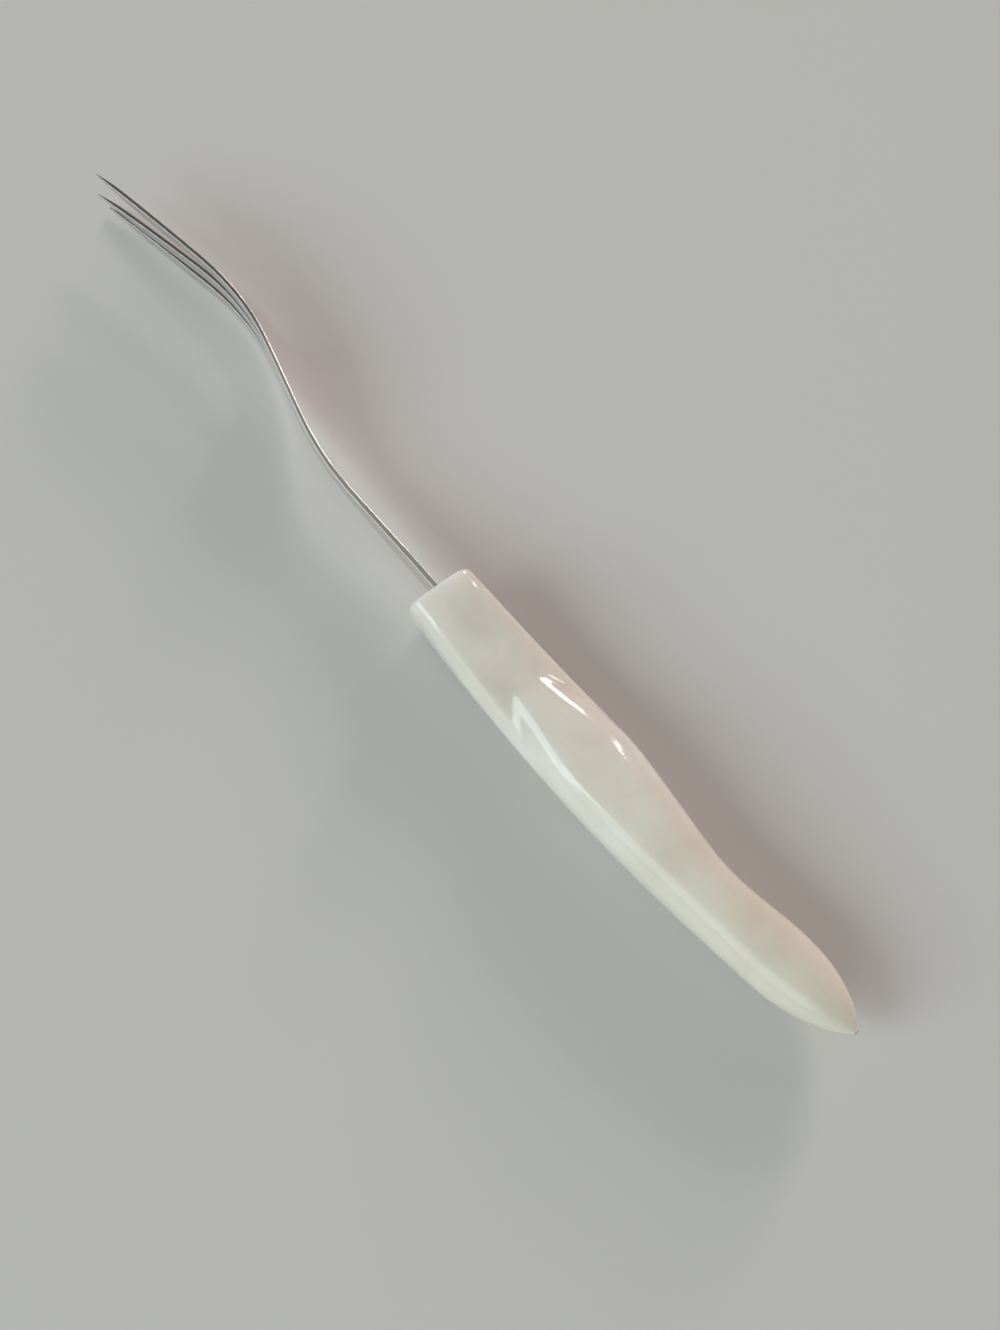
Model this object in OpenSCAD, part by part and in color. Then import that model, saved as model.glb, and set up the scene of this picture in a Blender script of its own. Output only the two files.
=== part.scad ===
// Turning fork: one stamped steel fork with a hidden tang, cemented into a moulded pearl handle.
// It lies on its side. X runs from the tail to the tine tips, Y is up in use, Z runs across the tines.
// Stations along the handle are measured from its front face, or from its tail where the name says so.

/* [Handle length and outline] */
// Length of the handle along the line of the shank
handle_len = 138.8; // [132:0.2:160]
// Back line at the front face, above the shank line
back_front = 8.2; // [7.6:0.1:9.2]
// Back line at the thumb hollow
back_thumb = 9.8; // [9:0.1:10.4]
// Station of the back line's thumb point
back_thumb_at = 20; // [15:1:28]
// Back line at its highest point
back_crown = 10.5; // [9.5:0.1:12]
// Station of the back line's highest point
back_crown_at = 45; // [38:1:55]
// Back line over the waist
back_waist = 9.4; // [8.5:0.1:10.5]
// Station of the back line over the waist
back_waist_at = 79; // [72:1:88]
// Back line over the hook
back_hook = 6.1; // [5:0.1:7.5]
// Back line produced to the tail, before the tail is rounded off
back_tail = 3.2; // [2:0.1:4.5]
// Grip line at the front face, below the shank line
grip_front = 8.8; // [8.2:0.1:9.6]
// Grip line where the belly starts
grip_start = 9.9; // [9.2:0.1:10.8]
// Station where the belly starts
grip_start_at = 30; // [24:1:40]
// Grip line at the belly
grip_belly = 11; // [10:0.1:12.5]
// Station of the belly
grip_belly_at = 56; // [50:1:64]
// Grip line between the belly and the waist
grip_flank = 9.5; // [9:0.1:10.4]
// Station between the belly and the waist
grip_flank_at = 75; // [70:1:82]
// Grip line at the waist, where the little finger lies
grip_waist = 8; // [7:0.1:9]
// Station of the waist
grip_waist_at = 92; // [88:1:96]
// Grip line at the hook that stops the hand
grip_hook = 11; // [9.5:0.1:12]
// Distance of the hook from the tail
hook_from_tail = 26; // [24:1:30]
// Grip line produced to the tail, before the tail is rounded off
grip_tail = 13.6; // [12.5:0.1:15]
// Length over which the tail is rounded off
tail_round = 23.2; // [18:0.2:25]

/* [Handle cheeks] */
// Thickness across the two flats on the palm swell
handle_thick = 20; // [18:0.2:23]
// How deep the flats are cut into the palm swell
flat_depth = 0.25; // [0.1:0.05:0.5]
// Thickness at the front face
front_thick = 17; // [16:0.2:18]
// Thickness at the lowest line of the thumb hollow
hollow_thick = 13.8; // [13.2:0.2:15.6]
// Station of that line
hollow_at = 26.5; // [22:0.5:29]
// Thickness where the palm swell's nose has risen out of the hollow
nose_thick = 17; // [16:0.2:18]
// Station of the nose's rise
nose_at = 34; // [31:1:38]
// How far the nose's line is swept back at the height of the crown
nose_sweep = 15; // [8:0.5:18]
// Station where the sweep has faded out
sweep_end = 59; // [56:1:70]
// Station of the palm swell
swell_at = 51; // [46:1:60]
// Thickness at the waist
waist_thick = 18; // [16:0.2:19.6]
// Thickness at the hook
hook_thick = 17; // [14:0.2:18.6]
// Squareness of the section at the front, where 2 is an ellipse
front_square = 9; // [6:0.5:10]
// Squareness of the section at the thumb hollow
hollow_square = 3.2; // [2.6:0.1:4]
// Squareness of the section at the palm swell
swell_square = 2.5; // [2:0.1:3]
// Squareness of the section at the tail
tail_square = 2.3; // [2:0.1:3]
// Edge radius of the front face
front_round = 1.5; // [0.8:0.1:2]
// Lean of the front face, forward at the back line
front_lean = 4.8; // [0:0.2:9]
// Length over which that lean fades out
lean_fade = 20; // [14:1:30]
// Diameter of the moulding gate's stub at the tail
gate_d = 1.6; // [1.2:0.1:2]
// How far the gate's stub stands out
gate_proud = 0.3; // [0.2:0.1:0.6]

/* [Shank and head] */
// Distance from the handle's front face to the tine tips
reach = 135.2; // [126:0.2:145]
// Shank width at the handle
shank_w = 10.3; // [9.4:0.1:10.8]
// Length of the shank that keeps that width
shank_straight = 7; // [3:1:10]
// Shank width at the neck
neck_w = 6.7; // [5.6:0.1:8]
// Distance of the neck from the handle
neck_at = 37; // [31:1:41]
// Width at the shoulder of the head
shoulder_w = 16.6; // [15.4:0.2:17.6]
// Distance of the shoulder from the handle
shoulder_at = 66; // [62:1:69]
// Greatest width across the tines
head_w = 19.8; // [19:0.2:21.6]
// Steel thickness at the handle and in the tang
shank_t = 1.4; // [1.1:0.05:1.8]
// Steel thickness of the head and tines
head_t = 1; // [0.8:0.05:1.2]

/* [Bends] */
// Distance from the handle to the bend that drops the head
drop_at = 34.2; // [29:0.2:38]
// Centreline radius of that bend
drop_r = 77; // [64:1:90]
// Slope of the dropped part, in degrees
drop_angle = 15.7; // [11:0.1:18]
// Distance from the handle to the bend that lifts the tines
lift_at = 73.2; // [70:0.2:77]
// Centreline radius of that bend
lift_r = 62; // [50:1:70]
// Final slope of the middle tine, in degrees
middle_rise = 11.2; // [10:0.1:13]
// Final slope of the outer tines, in degrees
outer_rise = 8.8; // [7:0.1:9.6]

/* [Tines] */
// Distance from the handle to the bottom of the slots
root_at = 78.2; // [75:0.2:83]
// Tine width at the slots' bottom
tine_root_w = 4.7; // [4:0.1:5]
// Tine width where the point starts
tine_w = 4.1; // [3.4:0.1:4.4]
// Length of the tapered point
point_len = 24; // [16:1:30]
// Width of the blunted tip
tip_w = 0.7; // [0.4:0.1:1.2]
// Distance of the outer tips from the middle one
tip_spread = 8.6; // [8:0.1:9.4]
// Length of the bevel under each tip
bevel_len = 5; // [3:0.5:8]
// Steel left at the tip after bevelling
tip_t = 0.3; // [0.2:0.05:0.5]

/* [Tang and cement] */
// Length of the tang inside the handle
tang_len = 92; // [78:1:98]
// Tang width at its end
tang_end_w = 6.4; // [5.4:0.1:8]
// Diameter of the anchor holes in the tang
anchor_d = 3.2; // [2.4:0.1:4]
// Distance of the first anchor hole from the handle's front face
anchor_1_at = 34; // [26:1:42]
// Distance of the second anchor hole from the handle's front face
anchor_2_at = 68; // [56:1:72]
// Thickness of the cement all round the tang
cement_gap = 0.25; // [0.2:0.05:0.5]
// Cement left between the tang's end and the bottom of the socket
cement_end = 1.5; // [0.5:0.1:3]
// How far the cement sits back from the handle's front face
cement_setback = 0.25; // [0.2:0.05:0.6]

/* [Hidden] */

// Sampling of the lofted handle and of the bent steel
handle_sides = 40;
handle_step = 3;
front_rings = 5;
tail_rings = 12;
bend_step = 1.5;
width_step = 2;
// Exponents that give the tail its pointed, rounded end
tail_power = 1.9;
tail_close = 2 / 3;
// Spare length of a cut past the face that it opens
cut_spare = 5;

hook_at = handle_len - hook_from_tail;
tail_at = handle_len - tail_round;
loft_len = handle_len - gate_proud;
swell_half = handle_thick / 2 + flat_depth;

// Smooth curve through stations, each of them [place, value], level at its highs and lows
function chord(s, i) = (s[i + 1][1] - s[i][1]) / (s[i + 1][0] - s[i][0]);
function span(s, i) = s[i + 1][0] - s[i][0];
function slope(s, i) =
    i == 0 ? chord(s, 0)
    : i == len(s) - 1 ? chord(s, i - 1)
    : chord(s, i - 1) * chord(s, i) <= 0 ? 0
    : (chord(s, i - 1) * span(s, i) + chord(s, i) * span(s, i - 1)) / (span(s, i - 1) + span(s, i));
function piece(s, u, i = 0) = i < len(s) - 2 && u > s[i + 1][0] ? piece(s, u, i + 1) : i;
function blend(a, b, da, db, t) =
    a * (1 + 2 * t) * pow(1 - t, 2) + da * t * pow(1 - t, 2)
    + b * t * t * (3 - 2 * t) + db * t * t * (t - 1);
function on_piece(s, u, i) =
    blend(s[i][1], s[i + 1][1], slope(s, i) * span(s, i), slope(s, i + 1) * span(s, i),
        (u - s[i][0]) / span(s, i));
function curve(s, u) = on_piece(s, u, piece(s, u));

// Outline and section of the handle at station u
back_line = [[0, back_front], [back_thumb_at, back_thumb], [back_crown_at, back_crown],
    [back_waist_at, back_waist], [hook_at, back_hook], [handle_len, back_tail]];
grip_line = [[0, -grip_front], [grip_start_at, -grip_start], [grip_belly_at, -grip_belly],
    [grip_flank_at, -grip_flank], [grip_waist_at, -grip_waist], [hook_at, -grip_hook],
    [handle_len, -grip_tail]];
half_thick = [[0, front_thick / 2], [hollow_at, hollow_thick / 2], [nose_at, nose_thick / 2],
    [swell_at, swell_half],
    [grip_waist_at, waist_thick / 2], [hook_at, hook_thick / 2], [handle_len, hook_thick / 2]];
squareness = [[0, front_square], [hollow_at, hollow_square], [swell_at, swell_square],
    [hook_at, tail_square], [handle_len, tail_square]];
function tail_cap(u) = u <= tail_at ? 1
    : pow(max(0, 1 - pow((u - tail_at) / (loft_len - tail_at), tail_power)), tail_close);
function front_inset(u) = u >= front_round ? 0
    : front_round - sqrt(pow(front_round, 2) - pow(front_round - u, 2));
function mid_line(u) = (curve(back_line, u) + curve(grip_line, u)) / 2;
function half_height(u) = (curve(back_line, u) - curve(grip_line, u)) / 2 * tail_cap(u) - front_inset(u);
function half_depth(u) = curve(half_thick, u) * tail_cap(u) - front_inset(u);
function lean(u) = u >= lean_fade ? 0 : tan(front_lean) * pow(1 - u / lean_fade, 2);
function arc_power(v, n) = sign(v) * pow(abs(v), 2 / n);

stations = concat(
    [for (i = [0:front_rings]) front_round * (1 - cos(90 * i / front_rings))],
    [for (u = [front_round + handle_step:handle_step:tail_at - handle_step / 2]) u],
    [for (i = [0:tail_rings - 1]) tail_at + (loft_len - tail_at) * sin(90 * i / tail_rings)]);

// Steel centreline: straight, dropped by one bend, lifted again by the next
drop_end = drop_at + drop_r * sin(drop_angle);
drop_depth = drop_r * (1 - cos(drop_angle));
lift_depth = drop_depth + tan(drop_angle) * (lift_at - drop_end);
lift_x = lift_at + lift_r * sin(drop_angle);
lift_low = -lift_depth - lift_r * (1 - cos(drop_angle));
function lift_end(rise) = lift_x + lift_r * sin(rise);
function centre(x, rise) =
    x <= drop_at ? 0
    : x <= drop_end ? sqrt(pow(drop_r, 2) - pow(x - drop_at, 2)) - drop_r
    : x <= lift_at ? -drop_depth - tan(drop_angle) * (x - drop_end)
    : x <= lift_end(rise) ? lift_low + lift_r - sqrt(pow(lift_r, 2) - pow(x - lift_x, 2))
    : lift_low + lift_r * (1 - cos(rise)) + tan(rise) * (x - lift_end(rise));
function tilt(x, rise) =
    x <= drop_at ? 0
    : x <= drop_end ? -asin((x - drop_at) / drop_r)
    : x <= lift_at ? -drop_angle
    : x <= lift_end(rise) ? asin((x - lift_x) / lift_r)
    : rise;
steel_t = [[0, shank_t], [neck_at, (shank_t + head_t) / 2], [shoulder_at, head_t], [reach, head_t]];
function half_t(x, rise) = (x <= 0 ? shank_t : curve(steel_t, x)) / 2 / cos(tilt(x, rise));
function bevel(x) = x <= reach - bevel_len ? 0
    : (head_t - tip_t) * (x - reach + bevel_len) / bevel_len;

// Widths of the steel, as half widths from its middle
point_at = reach - point_len;
point_centre = (head_w - tine_w) / 2;
root_centre = point_centre - (tip_spread - point_centre) * (point_at - root_at) / point_len;
half_plan = [[0, shank_w / 2], [shank_straight, shank_w / 2], [neck_at, neck_w / 2],
    [shoulder_at, shoulder_w / 2], [root_at, root_centre + tine_root_w / 2]];
function tine_centre(x) = root_centre + (tip_spread - root_centre) * (x - root_at) / (reach - root_at);
function tine_half(x) = x <= point_at
    ? (tine_root_w + (tine_w - tine_root_w) * (x - root_at) / (point_at - root_at)) / 2
    : (tip_w + (tine_w - tip_w) * sin(90 * (reach - x) / point_len)) / 2;
function tang_half(x) = shank_w / 2 + (shank_w - tang_end_w) / 2 * x / tang_len;
function plan_half(x) =
    x <= 0 ? tang_half(x)
    : x <= root_at ? curve(half_plan, x)
    : tine_centre(x) + tine_half(x);
slot_root = root_centre - tine_root_w;

// The middle tine is joined on where all three still share one slope
split_x = lift_end(outer_rise) - bend_step;
body_x = concat([-tang_len, 0], [for (x = [drop_at:bend_step:reach - bevel_len - bend_step / 2]) x],
    [reach - bevel_len, reach]);
tine_x = concat([for (x = [root_at:width_step:reach - width_step / 2]) x], [reach]);
plan_x = concat([-tang_len, 0], [for (x = [width_step:width_step:root_at - width_step / 2]) x], tine_x);

// The whole object is centred over the origin and stands on Z = 0
front_x = (handle_len - reach) / 2;
top_y = max([for (u = stations) mid_line(u) + half_height(u)]);
bottom_y = min([for (u = stations) mid_line(u) - half_height(u)]);
mid_y = -(top_y + bottom_y) / 2;
mid_z = max(handle_thick / 2, max([for (x = tine_x) plan_half(x)]));

// Places a shape drawn around the shank line, with X from the handle's front face
module in_frame() {
    translate([front_x, mid_y, mid_z])
        children();
}

// Bent strip, seen from the side, for tines that end at this slope
module side_strip(rise) {
    above = [for (x = body_x) [x, centre(x, rise) + half_t(x, rise)]];
    below = [for (i = [len(body_x) - 1:-1:0])
        [body_x[i], centre(body_x[i], rise) - half_t(body_x[i], rise) + bevel(body_x[i])]];
    translate([0, 0, -head_w])
        linear_extrude(2 * head_w)
            polygon(concat(above, below));
}

// Stamped outline, drawn in X and Z and cut right through the strip
module stamp() {
    rotate([90, 0, 0])
        linear_extrude(4 * lift_depth, center = true)
            children();
}

// Blank of the whole fork, tang to tips, before the slots are cut
module blank_outline() {
    near = [for (x = plan_x) [x, plan_half(x)]];
    far = [for (i = [len(plan_x) - 1:-1:0]) [plan_x[i], -plan_half(plan_x[i])]];
    polygon(concat(near, far));
}

// Slot between the middle tine and an outer one, round at its bottom
module slot_outline() {
    inner = [for (x = tine_x) [x, tine_half(x)]];
    outer = [for (i = [len(tine_x) - 1:-1:0]) [tine_x[i], tine_centre(tine_x[i]) - tine_half(tine_x[i])]];
    mouth = [[reach + cut_spare, tine_half(reach)], [reach + cut_spare, tip_spread - tine_half(reach)]];
    polygon(concat(inner, mouth, outer));
    translate([root_at, root_centre / 2])
        circle(d = slot_root, $fn = 32);
}

module middle_tine_outline() {
    ahead = concat([split_x], [for (x = tine_x) if (x > split_x) x]);
    near = [for (x = ahead) [x, tine_half(x)]];
    far = [for (i = [len(ahead) - 1:-1:0]) [ahead[i], -tine_half(ahead[i])]];
    polygon(concat(near, far));
}

module fork_blade() {
    color("#b4b6ba")
    in_frame()
        union() {
            difference() {
                intersection() {
                    side_strip(outer_rise);
                    stamp()
                        difference() {
                            blank_outline();
                            slot_outline();
                            mirror([0, 1])
                                slot_outline();
                            translate([split_x, -tine_root_w])
                                square([reach, 2 * tine_root_w]);
                        }
                }
                for (at = [anchor_1_at, anchor_2_at])
                    translate([-at, 0, 0])
                        rotate([90, 0, 0])
                            cylinder(h = 2 * shank_t, d = anchor_d, center = true, $fn = 48);
            }
            intersection() {
                side_strip(middle_rise);
                stamp()
                    middle_tine_outline();
            }
        }
}

// Room for the tang and the cement round it
module tang_socket(front) {
    depth = tang_len + cement_end;
    end_half = tang_half(-depth) + cement_gap;
    front_half = tang_half(front) + cement_gap;
    rotate([90, 0, 0])
        linear_extrude(shank_t + 2 * cement_gap, center = true)
            polygon([[front, front_half], [front, -front_half], [-depth, -end_half], [-depth, end_half]]);
}

// One ring of the handle, bowed back towards both lines where it follows the nose
function edge_y(u, c) = mid_line(u) + half_height(u) * c;
function bow(u) = u <= front_round ? 0
    : u <= hollow_at ? pow(sin(90 * (u - front_round) / (hollow_at - front_round)), 2)
    : pow(cos(90 * min(1, (u - hollow_at) / (sweep_end - hollow_at))), 2);
function swept(u, y) = u + bow(u) * nose_sweep * pow(y / back_crown, 2);
function ring(u) = [for (k = [0:handle_sides - 1])
    let (a = 360 * (k + 0.5) / handle_sides,
        n = curve(squareness, u),
        c = arc_power(cos(a), n),
        s = swept(u, edge_y(u, c)),
        y = edge_y(s, c))
    [lean(u) * y - s, y, half_depth(u) * arc_power(sin(a), n)]];

module handle_form() {
    count = len(stations);
    last = count * handle_sides;
    points = concat([for (u = stations) each ring(u)], [[-loft_len, mid_line(loft_len), 0]]);
    front = [[for (k = [0:handle_sides - 1]) k]];
    walls = [for (i = [0:count - 2], k = [0:handle_sides - 1])
        let (a = i * handle_sides + k,
            b = i * handle_sides + (k + 1) % handle_sides)
        each [[a, a + handle_sides, b + handle_sides], [a, b + handle_sides, b]]];
    tail = [for (k = [0:handle_sides - 1])
        [last - handle_sides + k, last, last - handle_sides + (k + 1) % handle_sides]];
    polyhedron(points, concat(front, walls, tail));
}

module handle() {
    color("#e4dccd")
    in_frame()
        difference() {
            union() {
                handle_form();
                translate([-handle_len, mid_line(loft_len), 0])
                    rotate([0, 90, 0])
                        cylinder(h = gate_d + gate_proud, d = gate_d, $fn = 32);
            }
            tang_socket(cut_spare);
            for (side = [1, -1])
                translate([-handle_len, -handle_len / 2, side > 0 ? handle_thick / 2 : -handle_thick])
                    cube([handle_len, handle_len, handle_thick / 2]);
        }
}

module tang_cement() {
    color("#c9b98f")
    difference() {
        in_frame()
            tang_socket(-cement_setback);
        fork_blade();
    }
}

fork_blade();
handle();
tang_cement();
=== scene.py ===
"""Looks of a turning fork: a pearl handle, a polished steel fork and the cement line between them.

Sizes in the classes are millimetres, measured as the maker would: along the fork from the handle's
front face, across it from the line of the shank. MM turns them to the scene's metres. Angles are in
degrees.
"""
import logging
import math
from collections.abc import Iterator, Sequence
from contextlib import contextmanager
from dataclasses import dataclass, field
from enum import Enum
from functools import cache
from typing import Any

import bmesh
import bpy
from mathutils import Matrix, Vector


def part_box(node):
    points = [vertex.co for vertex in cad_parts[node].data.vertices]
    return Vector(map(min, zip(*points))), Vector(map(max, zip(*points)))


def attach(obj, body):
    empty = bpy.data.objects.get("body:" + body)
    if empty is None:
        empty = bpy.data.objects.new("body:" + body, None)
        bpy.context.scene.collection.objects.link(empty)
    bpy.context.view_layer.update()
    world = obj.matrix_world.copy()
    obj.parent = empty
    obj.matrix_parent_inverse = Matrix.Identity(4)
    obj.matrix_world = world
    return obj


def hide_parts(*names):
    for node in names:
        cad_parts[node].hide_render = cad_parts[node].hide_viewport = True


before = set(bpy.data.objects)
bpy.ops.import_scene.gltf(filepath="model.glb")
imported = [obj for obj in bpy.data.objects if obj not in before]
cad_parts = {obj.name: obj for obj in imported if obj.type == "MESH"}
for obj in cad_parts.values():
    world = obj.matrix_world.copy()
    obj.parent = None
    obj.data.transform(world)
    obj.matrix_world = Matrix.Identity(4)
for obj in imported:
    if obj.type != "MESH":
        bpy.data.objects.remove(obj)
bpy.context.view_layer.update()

MM = 0.001
LOG = logging.getLogger("turning_fork")

# A place in a section: across the fork, and up
Point = tuple[float, float]
# Vertex numbers at an end of the strip, by the line along it and the side
End = dict[tuple[int, int], int]


def linear(code: str) -> tuple[float, float, float, float]:
    """Turns a colour as seen on a screen into the linear one that shaders take.

    Args:
        code: sRGB colour as a hex code, such as "#d9cfbd".

    Returns:
        Linear red, green and blue, with an alpha of 1.
    """
    parts = [int(code[i:i + 2], 16) / 255 for i in (1, 3, 5)]
    red, green, blue = (p / 12.92 if p <= 0.04045 else ((p + 0.055) / 1.055) ** 2.4 for p in parts)
    return red, green, blue, 1.0


def blank_material(name: str) -> tuple[bpy.types.Material, bpy.types.Node]:
    """Starts a material.

    Args:
        name: Name of the material.

    Returns:
        The material and its shader.
    """
    material = bpy.data.materials.new(name)
    material.use_nodes = True
    return material, material.node_tree.nodes["Principled BSDF"]


def add_node(tree: bpy.types.NodeTree, kind: str, feeds: dict[Any, Any] | None = None,
             **settings: Any) -> bpy.types.Node:
    """Adds one node to a material or world, with its settings and links.

    Args:
        tree: Node tree that takes the node.
        kind: Blender's type name of the node.
        feeds: Input name or number, to a value or to the output socket that feeds it.
        **settings: Attributes of the node itself.

    Returns:
        The new node.
    """
    node = tree.nodes.new(kind)
    for name, value in settings.items():
        setattr(node, name, value)
    for name, value in (feeds or {}).items():
        named = [s for s in node.inputs if s.name == name and s.enabled]
        socket = named[0] if named else node.inputs[name]
        if isinstance(value, bpy.types.NodeSocket):
            tree.links.new(value, socket)
        else:
            socket.default_value = value
    return node


def live_output(node: bpy.types.Node) -> bpy.types.NodeSocket:
    """Finds the output that is switched on, on a node that has one for each kind of data."""
    return next(s for s in node.outputs if s.enabled)


def deselect_all() -> None:
    """Leaves edit mode, if it is on, and deselects every object."""
    if bpy.context.object and bpy.context.object.mode != "OBJECT":
        bpy.ops.object.mode_set(mode="OBJECT")
    bpy.ops.object.select_all(action="DESELECT")


def pick(piece: bpy.types.Object) -> None:
    """Selects one piece alone and makes it the active one.

    Args:
        piece: Piece to select.
    """
    deselect_all()
    piece.select_set(True)
    bpy.context.view_layer.objects.active = piece


@contextmanager
def editing(piece: bpy.types.Object) -> Iterator[None]:
    """Opens one piece in edit mode, alone and with nothing selected, and leaves it again.

    Args:
        piece: Piece to open.

    Yields:
        Nothing: the piece is open until the block ends.
    """
    pick(piece)
    bpy.ops.object.mode_set(mode="EDIT")
    bpy.ops.mesh.select_mode(type="VERT")
    bpy.ops.mesh.select_all(action="DESELECT")
    yield
    bpy.ops.object.mode_set(mode="OBJECT")


def select_among(piece: bpy.types.Object, corners: set[int], faces: bool) -> None:
    """Selects the faces, or else the edges, whose corners all belong to a set.

    Args:
        piece: Piece that is open in edit mode.
        corners: Numbers of the vertices.
        faces: True for faces, False for edges.
    """
    bpy.ops.mesh.select_mode(type="FACE" if faces else "EDGE")
    bpy.ops.mesh.select_all(action="DESELECT")
    shape = bmesh.from_edit_mesh(piece.data)
    for part in shape.faces if faces else shape.edges:
        if all(v.index in corners for v in part.verts):
            part.select_set(True)
    bmesh.update_edit_mesh(piece.data)


def extrude_to(piece: bpy.types.Object, places: dict[int, Vector], faces: bool) -> dict[int, int]:
    """Extrudes an end of a piece and sets each new corner to its place.

    Args:
        piece: Piece that is open in edit mode.
        places: Number of each vertex at the end, to where its extruded copy goes.
        faces: True if the end is closed by faces, False if it is an open ring of edges.

    Returns:
        Number of each old vertex, to the number of its copy.
    """
    select_among(piece, set(places), faces)
    bpy.ops.mesh.extrude_region_move()
    shape = bmesh.from_edit_mesh(piece.data)
    shape.verts.index_update()
    shape.verts.ensure_lookup_table()
    copies = {}
    for old, place in places.items():
        corner = shape.verts[old]
        copy = next(e.other_vert(corner) for e in corner.link_edges if e.other_vert(corner).select)
        copies[old] = copy.index
        copy.co = place
    bmesh.update_edit_mesh(piece.data)
    return copies


def finish_piece(piece: bpy.types.Object, name: str, levels: int) -> None:
    """Smooths a piece, names it, turns its faces outward and shades it smooth.

    Args:
        piece: Piece as modelled.
        name: Name of the finished piece.
        levels: How many times the smoothing splits each face in four.
    """
    pick(piece)
    smoothing = piece.modifiers.new("smoothing", "SUBSURF")
    smoothing.levels = smoothing.render_levels = levels
    bpy.ops.object.modifier_apply(modifier=smoothing.name)
    piece.name = piece.data.name = name
    with editing(piece):
        bpy.ops.mesh.select_all(action="SELECT")
        bpy.ops.mesh.normals_make_consistent(inside=False)
    bpy.ops.object.shade_smooth()


@dataclass(frozen=True)
class Cut:
    """Limits of one stretch of solid in a section across the fork, in metres."""

    y_low: float
    y_high: float
    z_low: float
    z_high: float

    @property
    def mid_y(self) -> float:
        """Middle of the stretch, across the fork."""
        return (self.y_low + self.y_high) / 2

    @property
    def half_y(self) -> float:
        """Half of its width across the fork."""
        return (self.y_high - self.y_low) / 2

    @property
    def half_z(self) -> float:
        """Half of its height."""
        return (self.z_high - self.z_low) / 2

    def joined(self, other: "Cut") -> "Cut":
        """Gives the limits of this stretch and another one together."""
        return Cut(min(self.y_low, other.y_low), max(self.y_high, other.y_high),
                   min(self.z_low, other.z_low), max(self.z_high, other.z_high))


class Slicer:
    """Reads sections across X from a CAD node, so that what replaces it keeps its size and place."""

    tolerance: float = 0.001 * MM

    def __init__(self, node: str) -> None:
        """Keeps the node's triangles.

        Args:
            node: Name of the CAD node.
        """
        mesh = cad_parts[node].data
        mesh.calc_loop_triangles()
        self.triangles = [[mesh.vertices[i].co for i in t.vertices] for t in mesh.loop_triangles]

    @cache
    def cuts(self, x: float) -> list[Cut]:
        """Finds the stretches of solid in a section, apart from each other along Z.

        Args:
            x: Place of the section, in metres.

        Returns:
            The stretches, from the lowest to the highest.
        """
        lines = []
        for corners in self.triangles:
            ends = [a.lerp(b, (x - a.x) / (b.x - a.x))
                    for a, b in zip(corners, corners[1:] + corners[:1]) if (a.x - x) * (b.x - x) < 0]
            if ends:
                ys, zs = [p.y for p in ends], [p.z for p in ends]
                lines.append(Cut(min(ys), max(ys), min(zs), max(zs)))
        lines.sort(key=lambda cut: cut.z_low)
        found = lines[:1]
        for line in lines[1:]:
            if line.z_low > found[-1].z_high + self.tolerance:
                found.append(line)
            else:
                found[-1] = found[-1].joined(line)
        return found


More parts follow.
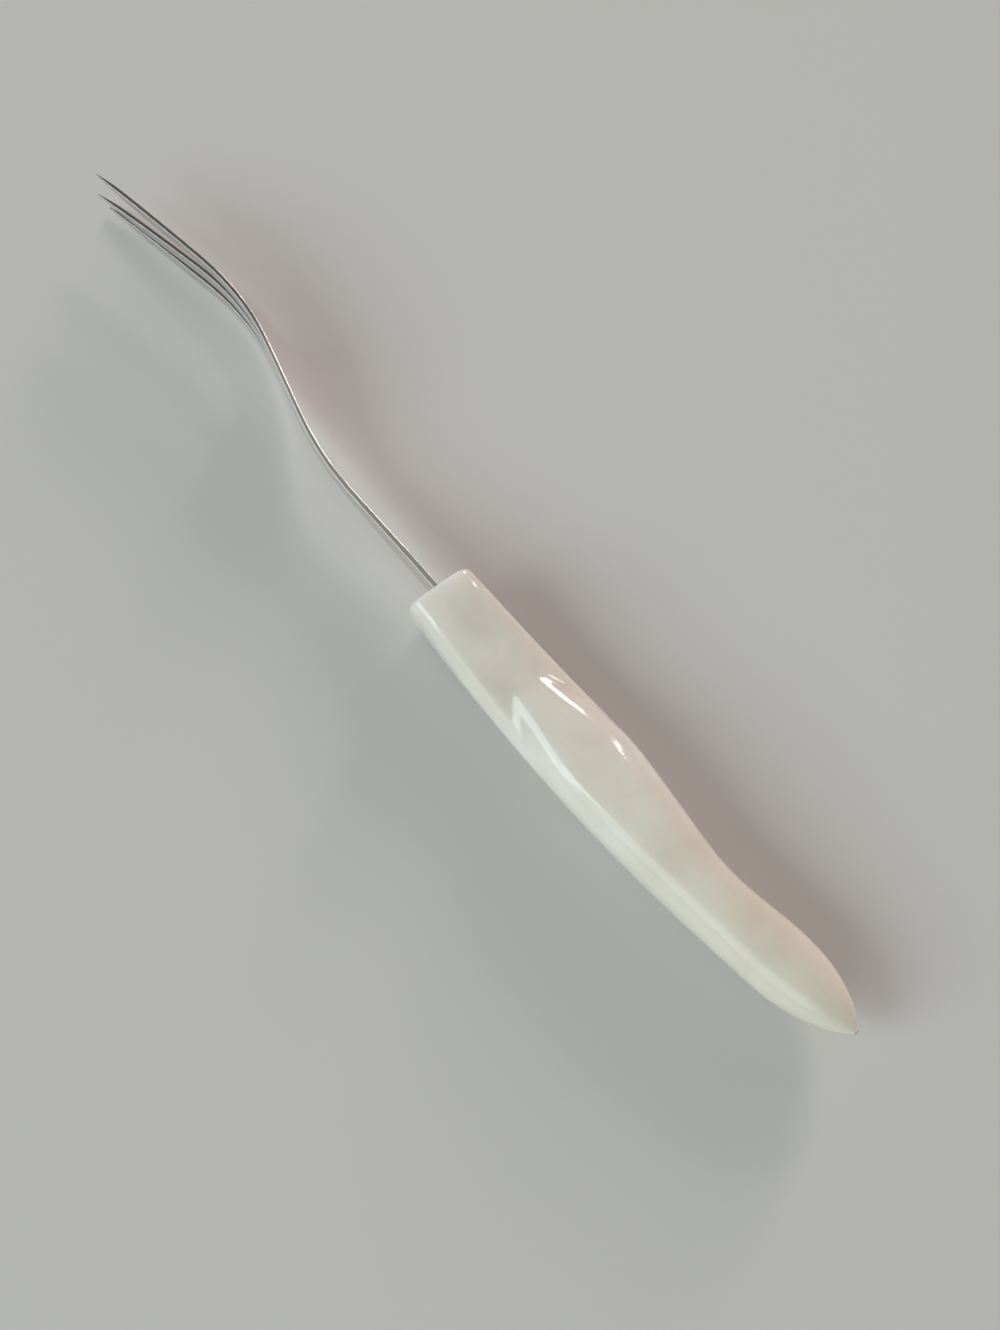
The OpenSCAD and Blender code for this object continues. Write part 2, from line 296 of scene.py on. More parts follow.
@dataclass(frozen=True)
class PearlResin:
    """Pearl-look cast resin, moulded and buffed: milky depth, soft clouds of tint, a clear wet gloss.

    It has yellowed towards the tail, and the cut gate there is a dark spot. The ageing runs between two
    places along X, measured from the middle of the fork.
    """

    tints: tuple[tuple[float, str], ...] = (
        (0.30, "#e1d6cb"), (0.48, "#ebe3d9"), (0.66, "#f2ebe6"), (1.0, "#ffffff"))
    cloud_mm: float = 26.0
    cloud_detail: float = 3.0
    cloud_roughness: float = 0.45
    cloud_swirl: float = 0.8
    blush: str = "#eadcd3"
    blush_share: float = 0.35
    wisp_mm: float = 5.0
    wisp_detail: float = 2.0
    wisp_swirl: float = 1.5
    wisp_levels: tuple[float, float] = (0.4, 0.7)
    aged: str = "#e7dac4"
    age_share: float = 0.42
    age_from_mm: float = -5.0
    age_to_mm: float = -125.0
    gate: str = "#a58c70"
    gate_mm: tuple[float, float] = (0.7, 1.2)
    roughness: float = 0.1
    ior: float = 1.5
    glow: float = 0.8
    glow_mm: float = 6.0
    glow_reach: tuple[float, float, float] = (1.0, 0.95, 0.88)

    def material(self, gate_at: Vector) -> bpy.types.Material:
        """Makes the material.

        Args:
            gate_at: Middle of the cut gate at the tail.

        Returns:
            The new material.
        """
        material, shader = blank_material("pearl_resin_buffed")
        tree = material.node_tree
        tree.links.new(self.tone(tree, gate_at), shader.inputs["Base Color"])
        shader.inputs["Roughness"].default_value = self.roughness
        shader.inputs["IOR"].default_value = self.ior
        shader.inputs["Subsurface Weight"].default_value = self.glow
        shader.inputs["Subsurface Radius"].default_value = self.glow_reach
        shader.inputs["Subsurface Scale"].default_value = self.glow_mm * MM
        return material

    def tone(self, tree: bpy.types.NodeTree, gate_at: Vector) -> bpy.types.NodeSocket:
        """Lays blush, age and the gate's spot over the clouds of tint.

        Args:
            tree: Node tree of the material.
            gate_at: Middle of the cut gate at the tail.

        Returns:
            Output that gives the colour.
        """
        place = add_node(tree, "ShaderNodeTexCoord").outputs["Object"]
        clouds = add_node(tree, "ShaderNodeTexNoise", {
            "Vector": place, "Scale": 1 / (self.cloud_mm * MM), "Detail": self.cloud_detail,
            "Roughness": self.cloud_roughness, "Distortion": self.cloud_swirl})
        tint = add_node(tree, "ShaderNodeValToRGB", {"Fac": clouds.outputs["Fac"]})
        ramp = tint.color_ramp.elements
        for position, _ in self.tints[1:-1]:
            ramp.new(position)
        for stop, (position, colour) in zip(ramp, self.tints):
            stop.position, stop.color = position, linear(colour)
        wisps = add_node(tree, "ShaderNodeTexNoise", {
            "Vector": place, "Scale": 1 / (self.wisp_mm * MM), "Detail": self.wisp_detail,
            "Distortion": self.wisp_swirl})
        wisp = add_node(tree, "ShaderNodeMapRange", {
            "Value": wisps.outputs["Fac"], "From Min": self.wisp_levels[0],
            "From Max": self.wisp_levels[1], "To Max": self.blush_share})
        age = add_node(tree, "ShaderNodeMapRange", {
            "Value": add_node(tree, "ShaderNodeSeparateXYZ", {"Vector": place}).outputs["X"],
            "From Min": self.age_from_mm * MM, "From Max": self.age_to_mm * MM,
            "To Max": self.age_share}, interpolation_type="SMOOTHSTEP")
        away = add_node(tree, "ShaderNodeVectorMath", {0: place, 1: gate_at}, operation="DISTANCE")
        scar = add_node(tree, "ShaderNodeMapRange", {
            "Value": away.outputs["Value"], "From Min": self.gate_mm[1] * MM,
            "From Max": self.gate_mm[0] * MM})
        tone = tint.outputs["Color"]
        for share, colour in ((wisp, self.blush), (age, self.aged), (scar, self.gate)):
            tone = live_output(add_node(tree, "ShaderNodeMix", {
                "Factor": share.outputs["Result"], "A": tone, "B": linear(colour)}, data_type="RGBA"))
        return tone


@dataclass(frozen=True)
class PolishedSteel:
    """Stainless strip, stamped and polished: cool mirror faces with fine lengthwise lines, duller edges.

    The edges are darker than the faces, partly as painted shade: a painted darker reflection of the dim
    room above. They darken further along the tines, between two places along X, measured from the
    middle of the fork: more painted shade of the same kind. Real polishing lines are finer: they are
    drawn this coarse so that they show.
    """

    face: str = "#d6d1cf"
    # Edges: duller, and darker partly as painted shade, a painted darker reflection of the room above
    edge: str = "#aba8a3"
    # Painted shade: the tines' edges darker still, standing in for a darker reflection of the room
    shaded_tine_edge: str = "#74716e"
    painted_shade_from_mm: float = 66.0
    painted_shade_to_mm: float = 90.0
    face_roughness: float = 0.13
    edge_roughness: float = 0.36
    line_mm: float = 0.35
    line_length_mm: float = 40.0
    line_detail: float = 2.0
    line_depth: float = 0.05
    edge_turn: tuple[float, float] = (0.8, 0.98)

    def material(self) -> bpy.types.Material:
        """Makes the material.

        Returns:
            The new material.
        """
        material, shader = blank_material("stainless_steel_polished")
        tree = material.node_tree
        place = add_node(tree, "ShaderNodeTexCoord").outputs["Object"]
        normal = add_node(tree, "ShaderNodeNewGeometry").outputs["Normal"]
        facing = add_node(tree, "ShaderNodeSeparateXYZ", {"Vector": normal})
        lift = add_node(tree, "ShaderNodeMath", {0: facing.outputs["Z"]}, operation="ABSOLUTE")
        # Share of edge, by which way the surface faces: duller finish and painted darker reflection
        edge = add_node(tree, "ShaderNodeMapRange", {
            "Value": lift.outputs["Value"], "From Min": self.edge_turn[0],
            "From Max": self.edge_turn[1]})
        # Painted shade along the tines: their edges darken towards the tips, a painted darker reflection
        painted_tine_shade = add_node(tree, "ShaderNodeMapRange", {
            "Value": add_node(tree, "ShaderNodeSeparateXYZ", {"Vector": place}).outputs["X"],
            "From Min": self.painted_shade_from_mm * MM, "From Max": self.painted_shade_to_mm * MM},
            interpolation_type="SMOOTHSTEP")
        rim = add_node(tree, "ShaderNodeMix", {
            "Factor": painted_tine_shade.outputs["Result"], "A": linear(self.edge),
            "B": linear(self.shaded_tine_edge)}, data_type="RGBA")
        tone = add_node(tree, "ShaderNodeMix", {
            "Factor": edge.outputs["Result"], "A": linear(self.face),
            "B": live_output(rim)}, data_type="RGBA")
        tree.links.new(live_output(tone), shader.inputs["Base Color"])
        across, lengthwise = 1 / (self.line_mm * MM), 1 / (self.line_length_mm * MM)
        grain = add_node(tree, "ShaderNodeMapping", {
            "Vector": place, "Scale": (lengthwise, across, across)})
        lines = add_node(tree, "ShaderNodeTexNoise", {
            "Vector": grain.outputs["Vector"], "Scale": 1.0, "Detail": self.line_detail})
        gloss = add_node(tree, "ShaderNodeMapRange", {
            "Value": edge.outputs["Result"], "To Min": self.face_roughness,
            "To Max": self.edge_roughness})
        worn = add_node(tree, "ShaderNodeMath", {
            0: lines.outputs["Fac"], 1: self.line_depth, 2: gloss.outputs["Result"]},
            operation="MULTIPLY_ADD")
        tree.links.new(worn.outputs["Value"], shader.inputs["Roughness"])
        shader.inputs["Metallic"].default_value = 1.0
        return material


@dataclass(frozen=True)
class CuredCement:
    """Cutler's cement, cured in the socket: a dull tan line with a grit, drawn coarse so that it shows."""

    pale: str = "#b5a688"
    dark: str = "#938366"
    grit_mm: float = 0.4
    grit_high_mm: float = 0.05
    grit_strength: float = 0.3
    roughness: float = 0.8

    def material(self) -> bpy.types.Material:
        """Makes the material.

        Returns:
            The new material.
        """
        material, shader = blank_material("cutlers_cement_cured")
        tree = material.node_tree
        place = add_node(tree, "ShaderNodeTexCoord").outputs["Object"]
        grit = add_node(tree, "ShaderNodeTexNoise", {"Vector": place, "Scale": 1 / (self.grit_mm * MM)})
        tone = add_node(tree, "ShaderNodeMix", {
            "Factor": grit.outputs["Fac"], "A": linear(self.dark),
            "B": linear(self.pale)}, data_type="RGBA")
        tree.links.new(live_output(tone), shader.inputs["Base Color"])
        bump = add_node(tree, "ShaderNodeBump", {
            "Height": grit.outputs["Fac"], "Strength": self.grit_strength,
            "Distance": self.grit_high_mm * MM})
        tree.links.new(bump.outputs["Normal"], shader.inputs["Normal"])
        shader.inputs["Roughness"].default_value = self.roughness
        return material


@dataclass(frozen=True)
class PaintedBoard:
    """Board under flat paint: an even, pale floor that takes the shadows and shows no gloss."""

    colour: str = "#d5cfcc"
    roughness: float = 1.0
    gloss: float = 0.0

    def material(self) -> bpy.types.Material:
        """Makes the material.

        Returns:
            The new material.
        """
        material, shader = blank_material("painted_board_matt")
        shader.inputs["Base Color"].default_value = linear(self.colour)
        shader.inputs["Roughness"].default_value = self.roughness
        shader.inputs["Specular IOR Level"].default_value = self.gloss
        return material


@dataclass(frozen=True)
class Girth:
    """Thickness of the handle at a distance from its front face, and the shape of its section there.

    Attributes:
        at: Distance from the front face.
        thickness: Size from cheek to cheek.
        squareness: How square the cheeks are, 2 for a circle.
        flank: How square the flanks are, 2 for a circle.
    """

    at: float
    thickness: float
    squareness: float
    flank: float


def signed_power(value: float, power: float) -> float:
    """Raises the size of a value to a power and keeps its sign."""
    return math.copysign(abs(value) ** power, value)


def ease(t: float) -> float:
    """Eases a share of 0 to 1 in and out."""
    t = min(max(t, 0.0), 1.0)
    return t * t * (3 - 2 * t)


def along(keys: Sequence[tuple[float, float]], at: float) -> float:
    """Reads a smooth line through keyed sizes, level at its ends, highs and lows.

    Args:
        keys: Distance and size of each key, in order.
        at: Distance to read at.

    Returns:
        The size there.
    """
    if at <= keys[0][0] or at >= keys[-1][0]:
        return keys[0][1] if at <= keys[0][0] else keys[-1][1]
    rises = [(b[1] - a[1]) / (b[0] - a[0]) for a, b in zip(keys, keys[1:])]
    turns = [0.0 if a * b <= 0 else 2 * a * b / (a + b) for a, b in zip(rises, rises[1:])]
    slopes = [0.0, *turns, 0.0]
    i = max(k for k in range(len(rises)) if keys[k][0] <= at)
    span = keys[i + 1][0] - keys[i][0]
    t = (at - keys[i][0]) / span
    bend = slopes[i] * t * (1 - t) ** 2 - slopes[i + 1] * t * t * (1 - t)
    return keys[i][1] + (keys[i + 1][1] - keys[i][1]) * ease(t) + span * bend


@dataclass
class PearlHandle:
    """The moulded hand grip: drawn ring by ring from the front face to the tail, then smoothed.

    A thumb hollow is scooped out of both cheeks behind the front face. The palm swell rises from it
    with a rounded nose, and the rings there are swept back to follow the nose. The width is the CAD
    handle's, and the thickness follows the girths. cheek_round and back_round are shares of the front
    edge's round, and nose_sweep is the sweep 1 mm to the side of the nose, which grows with the square.
    """

    finish: PearlResin = field(default_factory=PearlResin)
    node: str = "handle"
    length: float = 138.8
    ring_corners: int = 32
    rings: tuple[float, ...] = (
        3, 5.5, 8.5, 12, 15.5, 19, 22, 24.5, 26.3, 27.5, 28.5, 29.8, 31.8, 34.5, 38, 42, 46.5, 51, 56,
        61.5, 68, 75, 82, 89, 96, 103, 109, 114)
    tail_round: float = 23.2
    tail_rings: int = 9
    tip_gap: float = 0.05
    gate_depth: float = 0.1
    girths: tuple[Girth, ...] = (
        Girth(0, 17.6, 6.0, 3.2), Girth(3, 17.55, 6.0, 3.2), Girth(6.5, 17.3, 5.4, 3.1),
        Girth(10, 16.4, 4.2, 2.9), Girth(13, 15.5, 3.5, 2.7), Girth(20, 14.0, 2.7, 2.45),
        Girth(26.5, 13.3, 2.3, 2.2), Girth(28, 13.5, 2.3, 2.2), Girth(33, 15.3, 2.5, 2.3),
        Girth(39, 17.1, 2.7, 2.45), Girth(47, 18.5, 2.7, 2.45), Girth(60, 19.6, 2.7, 2.45),
        Girth(78, 20.0, 2.5, 2.3), Girth(98, 18.2, 2.3, 2.2), Girth(113, 17.0, 2.3, 2.2))
    nose_at: float = 28.0
    nose_y: float = 0.6
    nose_sweep: float = 0.2
    sweep_to: float = 60.0
    front_round: float = 1.2
    front_edge: float = 2.4
    cheek_round: float = 0.5
    back_round: float = 0.15
    face_inset: float = 3.0
    front_lean: float = 4.8
    lean_fade: float = 20.0
    socket_depth: float = 20.0
    socket_lip: float = 0.3
    socket_squareness: float = 12.0
    socket_flank: float = 8.5
    smooth_levels: int = 3
    front_x: float = field(init=False)
    mid_z: float = field(init=False)
    slicer: Slicer = field(init=False)

    def build(self) -> bpy.types.Object:
        """Models the handle.

        Returns:
            The finished piece.
        """
        low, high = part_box(self.node)
        self.front_x = low.x + self.length * MM
        self.mid_z = (low.z + high.z) / 2
        self.slicer = Slicer(self.node)
        deselect_all()
        bpy.ops.mesh.primitive_circle_add(
            vertices=self.ring_corners, radius=self.girths[0].thickness / 2 * MM, fill_type="NOTHING")
        piece = bpy.context.object
        with editing(piece):
            shape = bmesh.from_edit_mesh(piece.data)
            shape.verts.ensure_lookup_table()
            for corner, place in zip(shape.verts, self.ring(self.front_round)):
                corner.co = place
            bmesh.update_edit_mesh(piece.data)
            front = list(range(self.ring_corners))
            self.extend(piece, front, [self.ring(at) for at in self.rings] + self.tail())
            self.extend(piece, front, self.front_face() + self.socket())
        finish_piece(piece, "pearl_handle", self.smooth_levels)
        return piece

    @staticmethod
    def extend(piece: bpy.types.Object, ring: list[int], loops: Sequence[list[Vector]]) -> None:
        """Extrudes an open ring through a row of loops and closes the last one.

        Args:
            piece: The handle, open in edit mode.
            ring: Numbers of the ring's vertices.
            loops: Places of the vertices, loop by loop.
        """
        for loop in loops:
            copies = extrude_to(piece, dict(zip(ring, loop)), faces=False)
            ring = [copies[i] for i in ring]
        select_among(piece, set(ring), faces=False)
        bpy.ops.mesh.edge_face_add()

    def tail(self) -> list[list[Vector]]:
        """Draws the rounded tail, with its loops close together towards the tip.

        Returns:
            The loops, from the handle to just short of the tip.
        """
        start = self.length - self.tail_round
        steps = [math.sin(math.pi / 2 * (i + 1) / self.tail_rings) for i in range(self.tail_rings)]
        return [self.ring(start + (self.tail_round - self.tip_gap) * s) for s in steps]

    def front_face(self) -> list[list[Vector]]:
        """Turns the front edge in to the flat front face, by way of the middle of the edge's round.

        Returns:
            The loops, from the edge inward.
        """
        turn = self.front_round * (1 - math.sqrt(0.5))
        edge = [(turn, turn), (0.0, self.front_round), (0.0, self.face_inset)]
        return [self.ring(back, inset=drawn) for back, drawn in edge]

    def socket(self) -> list[list[Vector]]:
        """Draws the socket that the tang's cement fills.

        Returns:
            The loops, from the mouth to the bottom.
        """
        low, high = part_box("tang_cement")
        hole = Cut(low.y, high.y, low.z, high.z)
        turn = self.square_turn(self.socket_squareness, self.socket_flank)
        mouth = self.smoothed([
            (hole.mid_y + hole.half_y * c, self.mid_z + hole.half_z * s) for c, s in turn])
        depths = (0.0, self.socket_lip, self.socket_depth)
        return [[self.leaned(at, y, z) for y, z in mouth] for at in depths]

    def square_turn(self, squareness: float, flank: float) -> list[Point]:
        """Walks once round a rounded square of half side 1, from its back line.

        Args:
            squareness: How square the cheeks are, 2 for a circle.
            flank: How square the flanks are, 2 for a circle.

        Returns:
            Each corner's place across the fork and up from its middle.
        """
        turn = [2 * math.pi * i / self.ring_corners for i in range(self.ring_corners)]
        return [(signed_power(math.cos(t), 2 / squareness), signed_power(math.sin(t), 2 / flank))
                for t in turn]

    def cut(self, at: float) -> Cut:
        """Gives the CAD handle's limits at a distance from its front face, behind its rounded front edge."""
        return self.slicer.cuts(self.front_x - max(at, self.front_edge) * MM)[0]

    def girth(self, at: float) -> Girth:
        """Reads the girth at a distance from the front face.

        Args:
            at: Distance to read at.

        Returns:
            The girth there.
        """
        sizes = ("thickness", "squareness", "flank")
        return Girth(at, *(along([(g.at, getattr(g, size)) for g in self.girths], at) for size in sizes))

    def ring(self, at: float, inset: float = 0.0) -> list[Vector]:
        """Draws one ring, which follows the swept line of the nose.

        Args:
            at: Distance of the ring from the front face, at its foremost point.
            inset: How far the ring is drawn in from the handle's surface.

        Returns:
            Places of its vertices.
        """
        swept = min(ease(at / self.nose_at), ease((self.sweep_to - at) / (self.sweep_to - self.nose_at)))
        girth = self.girth(at)
        here = self.cut(at)
        half_z = girth.thickness / 2 * MM
        if at > self.length - self.tail_round:
            half_z = min(half_z, here.half_z)
        distances, section = [], []
        for c, s in self.square_turn(girth.squareness, girth.flank):
            y = here.mid_y + here.half_y * c
            distance = at + swept * self.nose_sweep * (y / MM - self.nose_y) ** 2
            # Rounded to a tenth, so that neighbours share a section of the CAD handle
            there = self.cut(round(distance, 1)) if swept else here
            drawn = inset * (self.back_round if c > 0 else 1.0)
            distances.append(distance)
            section.append((there.mid_y + (there.half_y - drawn * MM) * c,
                            self.mid_z + (half_z - inset * self.cheek_round * MM) * s))
        return [self.leaned(d, y, z) for d, (y, z) in zip(distances, self.smoothed(section))]

    @staticmethod
    def smoothed(section: Sequence[Point]) -> list[Point]:
        """Pushes the corners of a section out by what the smoothing takes away from them.

        The smoothing draws a corner p between a and b to (a + 4 p + b) / 6.

        Args:
            section: The corners where the surface should be.

        Returns:
            The corners to model.
        """
        pushed = []
        for i, (y, z) in enumerate(section):
            (y_before, z_before), (y_after, z_after) = section[i - 1], section[(i + 1) % len(section)]
            pushed.append((y + (2 * y - y_before - y_after) / 6, z + (2 * z - z_before - z_after) / 6))
        return pushed

    def leaned(self, at: float, y: float, z: float) -> Vector:
        """Places a corner along the handle, leaning with the front face near it."""
        slope = math.tan(math.radians(self.front_lean)) * max(0.0, 1 - at / self.lean_fade) ** 2
        return Vector((self.front_x - at * MM + slope * y, y, z))

    def dress(self, piece: bpy.types.Object) -> None:
        """Gives the handle its resin and puts it in the CAD handle's place.

        Args:
            piece: The finished handle.
        """
        tip = self.cut(self.length - self.gate_depth)
        gate_at = Vector((self.front_x - self.length * MM, tip.mid_y, self.mid_z))
        piece.data.materials.append(self.finish.material(gate_at))
        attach(piece, "root")
        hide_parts(self.node)


@dataclass
class SteelFork:
    """Tines, palm, shank and tang: one strip, drawn station by station, edges eased, then smoothed.

    Lines run along the strip at the edges of the tines, and the lanes between them are the tines and
    the slots.
    """

    finish: PolishedSteel = field(default_factory=PolishedSteel)
    node: str = "fork_blade"
    reach: float = 135.2
    tang: tuple[float, ...] = (-91.9, -88, -60, -30, -4)
    shank: tuple[float, ...] = (3, 9, 15, 21, 27, 33, 39, 45, 51, 57, 62, 67, 72)
    root: float = 77.1
    past_root: float = 2.0
    tine: tuple[float, ...] = (81, 87, 93, 99, 105, 111, 116, 121, 125, 129, 132, 134.2, 135.1)
    tip_thick: float = 0.45
    slot_round: float = 1.0
    slot_steps: int = 4
    edge_round: float = 0.16
    edge_steps: int = 2
    sharp_from: float = 50.0
    smooth_levels: int = 2
    front_x: float = field(init=False)
    lines: list[float] = field(init=False)
    middle: float = field(init=False)
    slicer: Slicer = field(init=False)

    def build(self) -> bpy.types.Object:
        """Models the fork.

        Returns:
            The finished piece.
        """
        self.slicer = Slicer(self.node)
        self.front_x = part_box(self.node)[1].x - self.reach * MM
        tines = self.slicer.cuts(self.front_x + (self.root + self.past_root) * MM)
        self.lines = [z for cut in tines for z in (cut.z_low, cut.z_high)]
        self.middle = (self.lines[0] + self.lines[-1]) / 2
        deselect_all()
        bpy.ops.mesh.primitive_cube_add(size=1.0)
        piece = bpy.context.object
        with editing(piece):
            rear, front = self.draw_palm(piece)
            self.draw_shank(piece, rear)
            for lane in range(0, len(self.lines), 2):
                self.draw_tine(piece, front, lane)
            self.ease_edges(piece, front)
        finish_piece(piece, "steel_fork", self.smooth_levels)
        return piece

    def section(self, at: float) -> dict[tuple[int, int], Vector]:
        """Gives the corners of the whole strip at a distance from the handle.

        Args:
            at: Distance from the handle's front face, before the slots begin.

        Returns:
            Number of the line along the strip and of its side, to the corner's place.
        """
        x = self.front_x + at * MM
        cut = self.slicer.cuts(x)[0]
        widen = (cut.z_high - cut.z_low) / (self.lines[-1] - self.lines[0])
        heights = [self.middle + (z - self.middle) * widen for z in self.lines]
        return {(line, side): Vector((x, y, z))
                for line, z in enumerate(heights) for side, y in enumerate((cut.y_low, cut.y_high))}

    def draw_palm(self, piece: bpy.types.Object) -> tuple[End, End]:
        """Cuts a block of side 1 into lanes and sets it between the last shank station and the slots.

        Args:
            piece: The block, open in edit mode.

        Returns:
            Its rear and front ends.
        """
        lanes = len(self.lines) - 1
        for line in range(1, lanes):
            bpy.ops.mesh.select_all(action="SELECT")
            bpy.ops.mesh.bisect(plane_co=(0, 0, line / lanes - 0.5), plane_no=(0, 0, 1))
        shape = bmesh.from_edit_mesh(piece.data)
        shape.verts.index_update()
        ends: tuple[End, End] = ({}, {})
        places = self.section(self.shank[-1]), self.section(self.root)
        for corner in shape.verts:
            end, side = int(corner.co.x > 0), int(corner.co.y > 0)
            key = (round((corner.co.z + 0.5) * lanes), side)
            ends[end][key] = corner.index
            corner.co = places[end][key]
        bmesh.update_edit_mesh(piece.data)
        return ends

    def draw_shank(self, piece: bpy.types.Object, end: End) -> None:
        """Extrudes the palm back through the shank to the end of the tang.

        Args:
            piece: The palm, open in edit mode.
            end: Its rear end.
        """
        for at in reversed(self.tang + self.shank[:-1]):
            end = self.extend(piece, end, self.section(at))

    def draw_tine(self, piece: bpy.types.Object, root: End, lane: int) -> None:
        """Extrudes one tine from the palm to its tip.

        Args:
            piece: The fork, open in edit mode.
            root: The palm's front end, at the slots' bottoms.
            lane: Number of the line at the tine's lower edge.
        """
        end = {key: number for key, number in root.items() if key[0] in (lane, lane + 1)}
        for at in self.tine:
            x = self.front_x + at * MM
            cut = self.slicer.cuts(x)[lane // 2]
            thick = max(cut.y_high - cut.y_low, self.tip_thick * MM)
            sides, heights = (cut.y_high - thick, cut.y_high), (cut.z_low, cut.z_high)
            end = self.extend(piece, end, {
                (line, side): Vector((x, sides[side], heights[line - lane])) for line, side in end})

    @staticmethod
    def extend(piece: bpy.types.Object, end: End, corners: dict[tuple[int, int], Vector]) -> End:
        """Extrudes an end of the strip to its next section.

        Args:
            piece: The fork, open in edit mode.
            end: The end to extrude.
            corners: Places of the next section's corners, by line and side.

        Returns:
            The new end.
        """
        copies = extrude_to(piece, {end[key]: corners[key] for key in end}, faces=True)
        return {key: copies[number] for key, number in end.items()}

    def ease_edges(self, piece: bpy.types.Object, root: End) -> None:
        """Rounds the bottoms of the slots, then eases every sharp edge.

        Args:
            piece: The fork, open in edit mode.
            root: The palm's front end, at the slots' bottoms.
        """
        bpy.ops.mesh.select_mode(type="EDGE")
        bpy.ops.mesh.select_all(action="DESELECT")
        shape = bmesh.from_edit_mesh(piece.data)
        shape.verts.ensure_lookup_table()
        for line in range(1, len(self.lines) - 1):
            pair = shape.verts[root[line, 0]], shape.verts[root[line, 1]]
            shape.edges.get(pair).select_set(True)
        bmesh.update_edit_mesh(piece.data)
        bpy.ops.mesh.bevel(offset=self.slot_round * MM, segments=self.slot_steps, affect="EDGES")
        bpy.ops.mesh.select_all(action="DESELECT")
        bpy.ops.mesh.edges_select_sharp(sharpness=math.radians(self.sharp_from))
        bpy.ops.mesh.bevel(offset=self.edge_round * MM, segments=self.edge_steps, affect="EDGES")

    def dress(self, piece: bpy.types.Object) -> None:
        """Gives the fork its steel and puts it in the CAD fork's place.

        Args:
            piece: The finished fork.
        """
        piece.data.materials.append(self.finish.material())
        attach(piece, "root")
        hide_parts(self.node)


@dataclass
class TangCement:
    """The cement in the socket, kept as the CAD solid and only dressed."""

    finish: CuredCement = field(default_factory=CuredCement)
    node: str = "tang_cement"

    def dress(self) -> None:
        """Gives the CAD solid its cement."""
        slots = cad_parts[self.node].data.materials
        slots.clear()
        slots.append(self.finish.material())


# Light of the sky and of the lamps
DAY_TINT = "#dcf3f4"
LAMP_TINT = "#fff7f4"


@dataclass(frozen=True)
class Softbox:
    """One soft lamp: where it hangs as seen from the fork, its size, brightness and colour.

    A lamp with the name of a piece in its field "only" is screened off from everything else.
    """

    heading: float
    elevation: float
    width: float
    height: float
    brightness: float
    colour: str
    only: str = ""
    distance: float = 4000.0


class Lamp(Enum):
    """Lamps of the studio: cool daylight on one side of the fork and warm lamps on the other.

    The edge lamp is screened: it puts a bright line on the steel's edges and lights nothing else.
    """

    WINDOW = Softbox(64.4, 32.5, 2190.0, 2220.0, 4.7, DAY_TINT)
    DAYLIGHT = Softbox(110.6, 33.0, 4080.0, 2500.0, 1.75, DAY_TINT)
    LAMP_BROAD = Softbox(-66.0, 16.5, 600.0, 1120.0, 29.0, LAMP_TINT)
    LAMP_NARROW = Softbox(-80.8, 29.0, 152.0, 1410.0, 20.0, LAMP_TINT)
    LAMP_EDGE = Softbox(-89.0, 22.0, 1200.0, 1700.0, 20.0, LAMP_TINT, only="steel_fork")


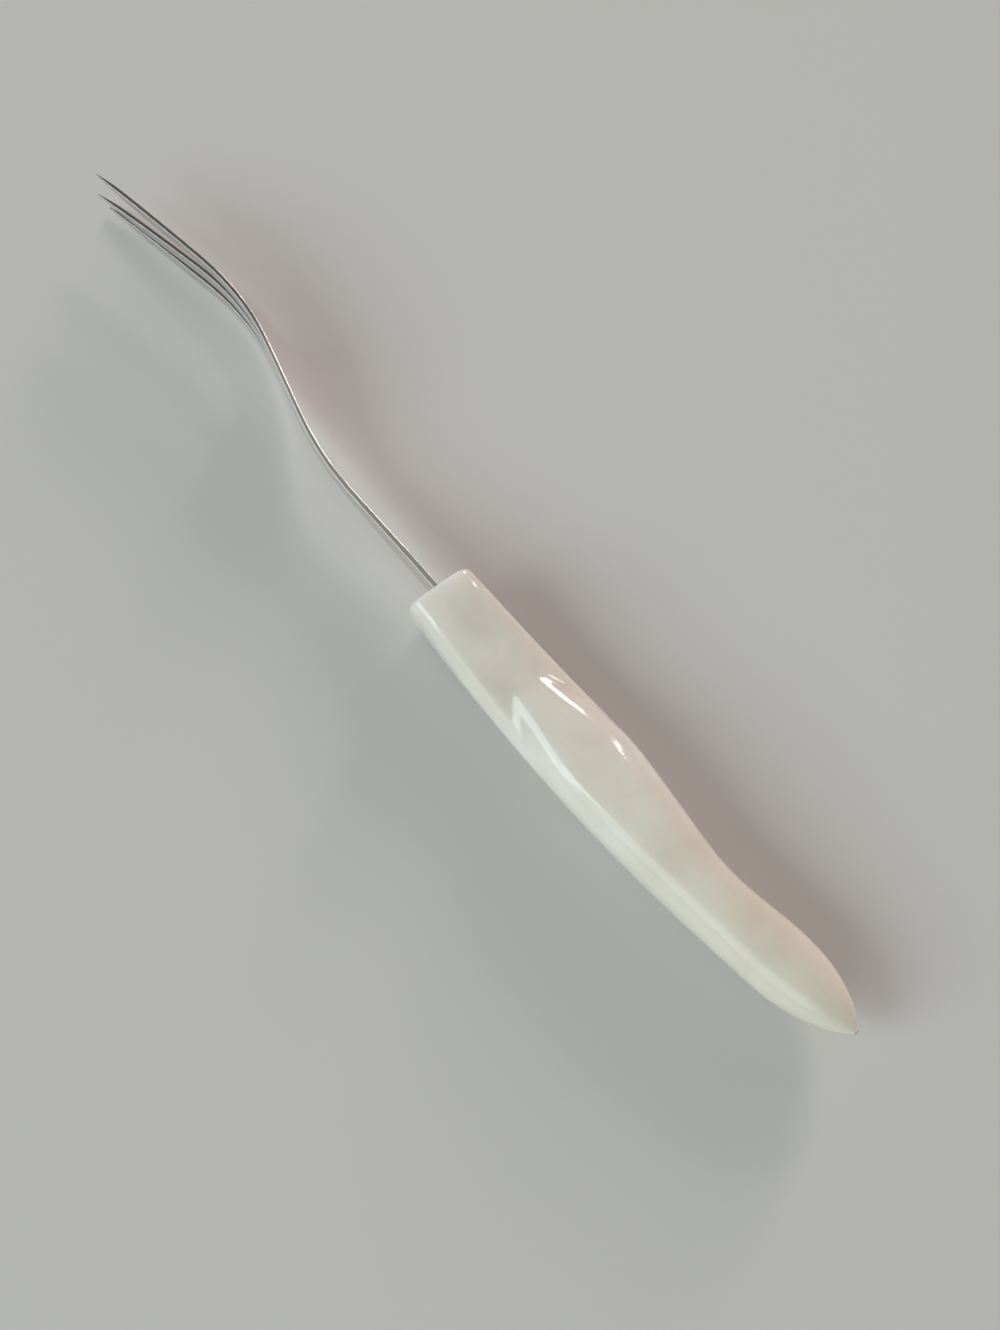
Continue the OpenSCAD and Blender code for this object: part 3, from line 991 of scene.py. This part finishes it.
@dataclass
class Studio:
    """Pale floor, soft lamps, the room's own light and the camera at the photograph's angle.

    The room's light is warmer and stronger on the lamps' side. The camera's focal length is in pixels of
    the photograph.
    """

    floor_finish: PaintedBoard = field(default_factory=PaintedBoard)
    floor_size: float = 4000.0
    backdrop: str = "#b4b0ad"
    room_warm: tuple[float, float, float] = (0.325, 0.31, 0.3)
    room_cool: tuple[float, float, float] = (0.2, 0.198, 0.192)
    image_height: int = 1330
    focal_pixels: float = 1768.0
    pitch: float = 13.5
    heading: float = -40.64
    distance: float = 415.0
    look_at: tuple[float, float, float] = (-20.75, 0.74, 10.0)
    sensor: float = 36.0
    nearest: float = 10.0

    def build(self) -> None:
        """Sets the floor, the lamps, the world and the camera."""
        self.lay_floor()
        for lamp in Lamp:
            self.hang(lamp)
        self.light_world()
        self.place_camera()

    def lay_floor(self) -> None:
        """Lays the floor under the fork."""
        deselect_all()
        bpy.ops.mesh.primitive_plane_add(size=self.floor_size * MM)
        floor = bpy.context.object
        floor.name = "floor"
        floor.data.materials.append(self.floor_finish.material())

    @staticmethod
    def hang(lamp: Lamp) -> None:
        """Hangs one lamp, aimed at the floor under the middle of the fork.

        Args:
            lamp: Lamp to hang.
        """
        box = lamp.value
        turn, lift = math.radians(box.heading), math.radians(box.elevation)
        towards = Vector((
            math.cos(turn) * math.cos(lift), math.sin(turn) * math.cos(lift), math.sin(lift)))
        deselect_all()
        bpy.ops.object.light_add(type="AREA", location=towards * box.distance * MM)
        light = bpy.context.object
        light.name = lamp.name.lower()
        light.rotation_euler = towards.to_track_quat("Z", "Y").to_euler()
        light.data.shape = "RECTANGLE"
        light.data.size, light.data.size_y = box.width * MM, box.height * MM
        light.data.energy = box.brightness * math.pi * light.data.size * light.data.size_y
        light.data.color = linear(box.colour)[:3]
        if box.only:
            lit = bpy.data.collections.new(f"lit_by_{light.name}")
            lit.objects.link(bpy.data.objects[box.only])
            light.light_linking.receiver_collection = lit

    def light_world(self) -> None:
        """Fills the room with soft light, and shows it as a pale backdrop."""
        world = bpy.data.worlds.new("studio")
        bpy.context.scene.world = world
        world.use_nodes = True
        tree = world.node_tree
        view = add_node(tree, "ShaderNodeTexCoord").outputs["Generated"]
        towards = add_node(tree, "ShaderNodeSeparateXYZ", {"Vector": view})
        room = add_node(tree, "ShaderNodeMapRange", {
            "Vector": towards.outputs["Y"], "From Min": (-1, -1, -1), "From Max": (1, 1, 1),
            "To Min": self.room_warm, "To Max": self.room_cool}, data_type="FLOAT_VECTOR")
        path = add_node(tree, "ShaderNodeLightPath")
        direct = add_node(tree, "ShaderNodeMath", {
            0: path.outputs["Is Camera Ray"], 1: path.outputs["Is Glossy Ray"]}, operation="MAXIMUM")
        shown = add_node(tree, "ShaderNodeMath", {
            0: direct.outputs["Value"], 1: path.outputs["Is Transmission Ray"]}, operation="MAXIMUM")
        seen = add_node(tree, "ShaderNodeMix", {
            "Factor": shown.outputs["Value"], "A": room.outputs["Vector"],
            "B": linear(self.backdrop)}, data_type="RGBA")
        tree.links.new(live_output(seen), tree.nodes["Background"].inputs["Color"])

    def place_camera(self) -> None:
        """Sets the camera where the photograph was taken."""
        turn, tilt = math.radians(self.heading), math.radians(self.pitch)
        away = Vector((math.cos(turn), math.sin(turn), 0))
        right = Vector((math.sin(turn), -math.cos(turn), 0))
        up = away * math.cos(tilt) + Vector((0, 0, math.sin(tilt)))
        back = Vector((0, 0, math.cos(tilt))) - away * math.sin(tilt)
        deselect_all()
        bpy.ops.object.camera_add()
        camera = bpy.context.object
        camera.name = "camera"
        pose = Matrix((right, up, back)).transposed().to_4x4()
        pose.translation = (Vector(self.look_at) + back * self.distance) * MM
        camera.matrix_world = pose
        camera.data.sensor_width = self.sensor
        camera.data.lens = self.sensor * self.focal_pixels / self.image_height
        camera.data.clip_start = self.nearest * MM
        bpy.context.scene.camera = camera


def main() -> None:
    """Builds and dresses the fork, piece by piece, and sets the studio round it."""
    logging.basicConfig(level=logging.INFO, format="%(name)s: %(message)s")
    for maker in (PearlHandle(), SteelFork()):
        piece = maker.build()
        maker.dress(piece)
        LOG.info("%s: %d faces", piece.name, len(piece.data.polygons))
    cement = TangCement()
    cement.dress()
    LOG.info("%s: the CAD solid, dressed", cement.node)
    Studio().build()
    bpy.context.scene.view_settings.view_transform = "Standard"


if __name__ == "__main__":
    main()
